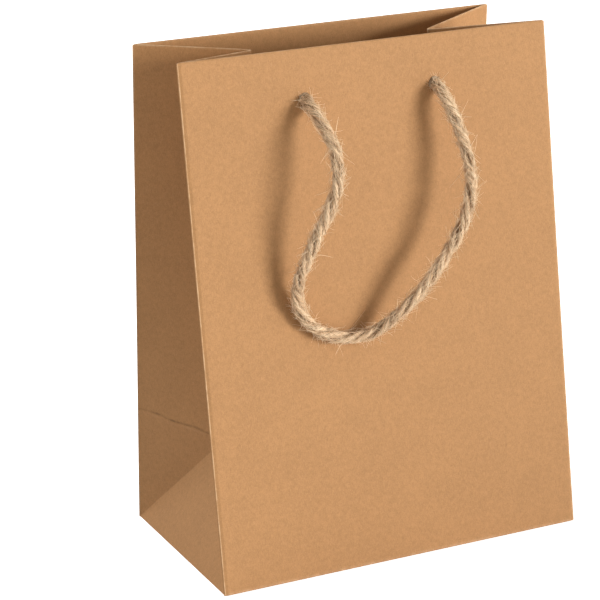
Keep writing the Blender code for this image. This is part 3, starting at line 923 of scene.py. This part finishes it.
def rope_strands(path, travelled, frames, radius, lay, seed, sides=18):
    """Three strands laid round a path, each a tube. A strand's middle goes round the path at radius
    0.52 R with one turn in each lay length. Its surface has lobes, as the sum of sines of the angle
    plus the distance along, so that yarns show on it. Returns points, faces, lay places and the painted
    shade of the grooves, 1 where a strand faces into the rope."""
    rng = np.random.default_rng(seed)
    _, first, second = frames
    offset, size = 0.52 * radius, 0.49 * radius
    angle = np.linspace(0.0, 2 * math.pi, sides, endpoint=False)[None]
    far = travelled[:, None]
    parts, sets, lays, groove_shades = [], [], [], []
    yarn_turn = far * 2 * math.pi / YARN_LAY
    for strand in range(3):
        turn = 2 * math.pi * (strand / 3 - far / lay) + 0.25 * np.sin(far * 95 + strand * 2.1)
        out = np.cos(turn) * first + np.sin(turn) * second
        across = -np.sin(turn) * first + np.cos(turn) * second
        swell = 1 + 0.05 * np.sin(far * rng.uniform(260, 420) + rng.uniform(0, 6))
        swell = swell + 0.04 * np.sin(far * rng.uniform(700, 1100) + rng.uniform(0, 6))
        lobes = np.zeros((len(path), sides))
        for count, share in ((4, 0.045), (7, 0.05), (9, 0.03)):
            drift = 0.8 * np.sin(far * rng.uniform(150, 420) + rng.uniform(0, 6))
            lobes += share * np.sin(count * (angle + yarn_turn) + drift + rng.uniform(0, 6))
        rough = rng.normal(0.0, 0.022, lobes.shape)
        reach = size * swell * (1 + lobes + rough)
        middle = path + offset * (1 + 0.04 * np.sin(far * 210 + strand)) * out
        ring = np.cos(angle)[..., None] * out[:, None] + np.sin(angle)[..., None] * across[:, None]
        points = middle[:, None] + reach[..., None] * ring
        sets.append(grid_quads(len(path), sides, closed=True) + strand * len(path) * sides)
        parts.append(points.reshape(-1, 3))
        lays.append(joined(far, size * (angle + yarn_turn), 0.37 * strand + 0.1 * seed).reshape(-1, 3))
        groove_shades.append(np.tile(smooth_step(0.35 - np.cos(angle[0])), len(path)))
    return (np.vstack(parts), [np.vstack(sets), end_caps(len(path), sides)], np.vstack(lays),
            np.concatenate(groove_shades))


def end_caps(rings, sides):
    """Fans that close the two ends of each of three strands' tubes."""
    per_strand = rings * sides
    step = np.arange(1, sides - 1)
    near = np.stack([np.zeros_like(step), step + 1, step], axis=1)
    far = near[:, ::-1] + (rings - 1) * sides
    return np.vstack([caps + strand * per_strand for strand in range(3) for caps in (near, far)])


def fibre_tubes(roots, ways, bends, lengths, thickness):
    """Fine tapering tubes with three sides. Each follows root + length * (way * t + bend * t^2), and its
    sides lie round that line in a frame across its mean direction."""
    t = np.linspace(0.0, 1.0, FIBRE_RINGS)[None, :, None]
    reach = lengths[:, None, None]
    line = roots[:, None] + reach * (ways[:, None] * t + bends[:, None] * t * t)
    mean = unit(ways + bends)
    guide = np.where(np.abs(mean[:, 2:]) < 0.8, (0.0, 0.0, 1.0), (1.0, 0.0, 0.0))
    first = unit(np.cross(mean, guide))
    second = np.cross(mean, first)
    angle = np.radians([0, 120, 240])[None, None, :, None]
    ring = np.cos(angle) * first[:, None, None] + np.sin(angle) * second[:, None, None]
    radius = 0.5 * thickness[:, None, None, None] * (1 - 0.75 * t[..., None] ** 2)
    points = line[:, :, None] + radius * ring
    count = len(roots)
    per_fibre = FIBRE_RINGS * FIBRE_SIDES
    first_point = per_fibre * np.arange(count)[:, None, None]
    quads = (grid_quads(FIBRE_RINGS, FIBRE_SIDES, closed=True)[None] + first_point).reshape(-1, 4)
    ends = np.array([(0, 2, 1), (per_fibre - 3, per_fibre - 2, per_fibre - 1)])
    caps = (ends[None] + first_point).reshape(-1, 3)
    lay = joined(reach[..., 0] * t[..., 0], np.arange(count)[:, None] * 0.0031, 0.5)
    return points.reshape(-1, 3), [quads, caps], np.repeat(lay.reshape(-1, 3), FIBRE_SIDES, axis=0)


def fibre_starts(path, frames, count, radius, rng):
    """Random places on the rope's surface, with the outward and lengthwise directions there."""
    along, first, second = frames
    place = rng.integers(4, len(path) - 4, count)
    angle = rng.uniform(0, 2 * math.pi, (count, 1))
    out = np.cos(angle) * first[place] + np.sin(angle) * second[place]
    side = -np.sin(angle) * first[place] + np.cos(angle) * second[place]
    return path[place] + out * radius, out, along[place], side


class GIFTBAG_OT_handles(Operator):
    """Lay the two rope handles, with the fuzz and loose fibres on them"""

    bl_idname = "giftbag.handles"
    bl_label = "Rope handles"

    def execute(self, context):
        rope = context.scene.giftbag_rope
        radius = rope.diameter / 2
        across, down, gap = HANDLE_ROUTE.T
        route = joined(across, -gap - radius, HOLE_HEIGHT - down)
        half = HOLE_SPACING / 2
        inner = np.array([[-half, ROPE_INSIDE, HOLE_HEIGHT], [-half, 0.0, HOLE_HEIGHT - 0.3 * MM]])
        route = np.vstack([inner, route, (inner * (-1, 1, 1))[::-1]])
        path, travelled = smooth_path(route, 0.45 * MM)
        frames = path_frames(path, unit(np.array([0.62, -0.78, 0.05])))
        for number, (name, facing) in enumerate(ENDS):
            points, face_sets, lay, groove_shades = rope_strands(
                path, travelled, frames, radius, rope.lay_length, seed=11 + number)
            cord = add_object(f"{name}_handle_rope", in_wall(points, facing), face_sets, ["jute_strands"],
                              None, {"lay": lay, "groove_shade": groove_shades})
            fuzz = self.add_fibres(f"{name}_handle_fuzz", path, frames, radius, facing, 31 + number,
                                   rope.fuzz_count, (2.0, 7.0), (0.02, 0.24), 0.22)
            loose = self.add_fibres(f"{name}_handle_loose_fibres", path, frames, radius, facing, 51 + number,
                                    rope.loose_count, (4.0, 10.0), (0.12, 0.7), 0.20)
            for item in (cord, fuzz, loose):
                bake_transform(item)
            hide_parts(f"{name}_handle")
        return {"FINISHED"}

    def add_fibres(self, name, path, frames, radius, facing, seed, count, lengths, standing, thickness):
        """One object of many fibres that start on the rope. standing is how steeply they leave it."""
        rng = np.random.default_rng(seed)
        depth = radius * rng.uniform(0.75, 1.08, (count, 1))
        roots, out, along, side = fibre_starts(path, frames, count, depth, rng)
        sign = rng.choice([-1.0, 1.0], (count, 1))
        rise = rng.uniform(*standing, (count, 1))
        ways = unit(sign * along + rise * 2.2 * out + rng.normal(0, 0.35, (count, 1)) * side)
        bends = rng.normal(0, 0.42, (count, 3)) - 0.25 * out
        reach = MM * rng.uniform(lengths[0], lengths[1], count) * rng.uniform(0.6, 1.0, count)
        size = MM * thickness * rng.uniform(0.7, 1.35, count)
        points, face_sets, lay = fibre_tubes(roots, ways, bends, reach, size)
        points[:, 1] = np.minimum(points[:, 1], -0.12 * MM)
        tint = np.repeat(rng.uniform(0.45, 1.0, count), FIBRE_RINGS * FIBRE_SIDES)
        return add_object(name, in_wall(points, facing), face_sets, ["jute_fibres"], None,
                          {"lay": lay, "tint": tint})


class GIFTBAG_OT_knots(Operator):
    """Tie the knots behind the walls, with their frayed ends"""

    bl_idname = "giftbag.knots"
    bl_label = "Knots"

    def execute(self, context):
        rope = context.scene.giftbag_rope
        radius = rope.diameter / 2 * KNOT_CORD
        route = self.route()
        for number, (wall, facing) in enumerate(ENDS):
            for side, sign in (("left", -1), ("right", 1)):
                path, travelled = smooth_path(route * (sign, 1, 1), 0.4 * MM)
                path = path + (sign * HOLE_SPACING / 2 * facing, 0.0, HOLE_HEIGHT)
                frames = path_frames(path, unit(np.array([0.35, 0.9, 0.2])))
                seed = 71 + 2 * number + (sign > 0)
                points, face_sets, lay, groove_shades = rope_strands(
                    path, travelled, frames, radius, rope.lay_length * 0.7, seed, sides=14)
                fuzz, fuzz_sets, fuzz_lay = self.fuzz(path, frames, radius, np.random.default_rng(seed))
                face_sets += [faces + len(points) for faces in fuzz_sets]
                knot = add_object(
                    f"{wall}_{side}_rope_knot", in_wall(np.vstack([points, fuzz]), facing), face_sets,
                    ["jute_strands", "jute_fibres"], [0, 0, 1, 1, 1, 1],
                    {"lay": np.vstack([lay, fuzz_lay]), "groove_shade": np.r_[groove_shades, np.zeros(len(fuzz))],
                     "tint": np.r_[np.zeros(len(points)), np.full(len(fuzz), 0.7)]})
                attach(knot, f"{wall}_wall")
                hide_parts(f"{wall}_{side}_knot")
        return {"FINISHED"}

    def route(self):
        """Points along a knot: a trefoil of size s, as s (sin t + 2 sin 2t, cos t - 2 cos 2t) across and
        up the wall, with its start at the hole and a tail that hangs down."""
        t = np.linspace(0.42, 2 * math.pi - 0.42, 22)
        size = 1.6 * MM
        loop = joined(size * (np.sin(t) + 2 * np.sin(2 * t)), KNOT_CENTRE - 2.5 * MM * np.sin(3 * t),
                      size * (np.cos(t) - 2 * np.cos(2 * t)))
        start = np.array([[0, 0.5 * MM, 0], [0, 2.2 * MM, 0.2 * MM]])
        tail = loop[-1] + np.array([[-0.4, 1.6, -2.6], [-0.8, 2.2, -6.5], [-0.5, 2.4, -10.5]]) * MM
        return np.vstack([start, loop, tail])

    def fuzz(self, path, frames, radius, rng):
        """A knot's fibres: a frayed tuft at its tail, then hairs all along it."""
        count, hairs = 90, 130
        spread = rng.normal(0, 0.55, (count, 3))
        end = unit(path[-1] - path[-6])
        roots = path[-1] + radius * 0.7 * rng.uniform(-1, 1, (count, 3)) - end * 1.5 * MM
        tuft, tuft_sets, tuft_lay = fibre_tubes(
            roots, unit(end + 0.6 * spread), 0.3 * rng.normal(0, 1, (count, 3)),
            MM * rng.uniform(2.5, 6.0, count), MM * rng.uniform(0.1, 0.2, count))
        roots, out, along, side = fibre_starts(path, frames, hairs, radius * 0.8, rng)
        hair, hair_sets, hair_lay = fibre_tubes(
            roots, unit(along + 0.5 * out + 0.3 * side), rng.normal(0, 0.3, (hairs, 3)),
            MM * rng.uniform(1.5, 4.0, hairs), np.full(hairs, 0.09 * MM))
        points = np.vstack([tuft, hair])
        points[:, 1] = np.maximum(points[:, 1], 2.0 * MM)
        hair_sets = [faces + len(tuft) for faces in hair_sets]
        return points, tuft_sets + hair_sets, np.vstack([tuft_lay, hair_lay])


# ---- stage


class GIFTBAG_OT_stage(Operator):
    """Set out the floor, the lights and the camera"""

    bl_idname = "giftbag.stage"
    bl_label = "Stage"

    def execute(self, context):
        scene, stage = context.scene, context.scene.giftbag_stage
        self.add_floor_material(stage)
        corners = FLOOR_HALF * np.array([(-1, -1), (1, -1), (1, 1), (-1, 1)], float)
        floor = add_object("floor", np.c_[corners, np.full(4, -0.2 * MM)], [np.array([[0, 1, 2, 3]])],
                           ["pale_floor"])
        self.add_world(scene, stage)
        self.add_light(scene, "key_light", stage.key_strength, stage.key_size,
                       (stage.key_across, -1.0, stage.key_height))
        self.add_light(scene, "rim_light", stage.rim_strength, math.radians(38), (-0.6, 0.8, 1.0))
        self.add_camera(scene, stage)
        scene.view_settings.view_transform = "Standard"
        scene.view_settings.look = "None"
        return {"FINISHED"}

    def add_light(self, scene, name, strength, size, towards):
        """A soft light from far away in the given direction."""
        light = bpy.data.lights.new(name, "SUN")
        light.energy = strength
        light.angle = size
        lamp = bpy.data.objects.new(name, light)
        towards = Vector(towards).normalized()
        lamp.rotation_euler = towards.to_track_quat("Z", "Y").to_euler()
        lamp.location = towards * 3
        scene.collection.objects.link(lamp)

    def add_floor_material(self, stage):
        """Matt pale floor, a little brighter to the camera than to the bag."""
        _, nodes, shader = new_material("pale_floor")
        tone = nodes.spread(nodes.noise(nodes.place(), 3.0), 0.3, 0.7)
        colour = tuple(stage.floor_colour)
        nodes.fill(shader, Base_Color=nodes.mix(tone, colour, shade(colour, 1.01)), Roughness=0.9,
                   Specular_IOR_Level=0.1, Emission_Color=(1.0, 1.0, 1.0, 1.0),
                   Emission_Strength=nodes.times(nodes.seen(), 0.85))

    def add_world(self, scene, stage):
        """Even light from all round, seen by the camera as white."""
        world = bpy.data.worlds.new("studio")
        scene.world = world
        world.use_nodes = True
        nodes = Nodes(world.node_tree)
        fill = stage.fill_strength
        nodes.fill(world.node_tree.nodes["Background"], Color=(1.0, 1.0, 1.0, 1.0),
                   Strength=nodes.math("MULTIPLY_ADD", nodes.seen(), 1.0 - fill, fill))

    def add_camera(self, scene, stage):
        """A long lens that looks down on the bag from its left."""
        turn, rise, roll = stage.camera_turn, stage.camera_rise, stage.camera_roll
        back = Vector((math.sin(turn) * math.cos(rise), -math.cos(turn) * math.cos(rise), math.sin(rise)))
        right = Vector((math.cos(turn), math.sin(turn), 0.0))
        up = back.cross(right)
        middle = Vector((0.0, 0.0, VIEW_HEIGHT)) + VIEW_RIGHT * right + VIEW_UP * up
        x_axis = math.cos(roll) * right + math.sin(roll) * up
        y_axis = -math.sin(roll) * right + math.cos(roll) * up
        turned = Matrix((x_axis, y_axis, back)).transposed().to_4x4()
        data = bpy.data.cameras.new("camera")
        data.lens = stage.lens
        data.sensor_width = 36.0
        data.clip_start = 0.05
        data.clip_end = 60.0
        camera = bpy.data.objects.new("camera", data)
        camera.matrix_world = Matrix.Translation(middle + back * stage.camera_distance) @ turned
        scene.collection.objects.link(camera)
        scene.camera = camera


# ---- panel and run


OPERATORS = (GIFTBAG_OT_finishes, GIFTBAG_OT_stage, GIFTBAG_OT_handles, GIFTBAG_OT_knots, GIFTBAG_OT_walls,
             GIFTBAG_OT_pleats, GIFTBAG_OT_bottom)
SETTINGS = {"giftbag_paper": PaperSettings, "giftbag_rope": RopeSettings, "giftbag_stage": StageSettings}


class GIFTBAG_PT_panel(Panel):
    """Lists the bag's settings and the operators that build its pieces."""

    bl_idname = "GIFTBAG_PT_panel"
    bl_label = "Gift Bag"
    bl_space_type = "VIEW_3D"
    bl_region_type = "UI"
    bl_category = "Gift Bag"

    def draw(self, context):
        for name, settings in SETTINGS.items():
            box = self.layout.box()
            for field in settings.__annotations__:
                box.prop(getattr(context.scene, name), field)
        for operator in OPERATORS:
            self.layout.operator(operator.bl_idname)


CLASSES = (*SETTINGS.values(), *OPERATORS, GIFTBAG_PT_panel)


def register():
    for item in CLASSES:
        bpy.utils.register_class(item)
    for name, settings in SETTINGS.items():
        setattr(bpy.types.Scene, name, PointerProperty(type=settings))


def unregister():
    for name in SETTINGS:
        delattr(bpy.types.Scene, name)
    for item in reversed(CLASSES):
        bpy.utils.unregister_class(item)


def main():
    """Builds everything."""
    register()
    for operator in OPERATORS:
        group, name = operator.bl_idname.split(".")
        getattr(getattr(bpy.ops, group), name)()


if __name__ == "__main__":
    main()
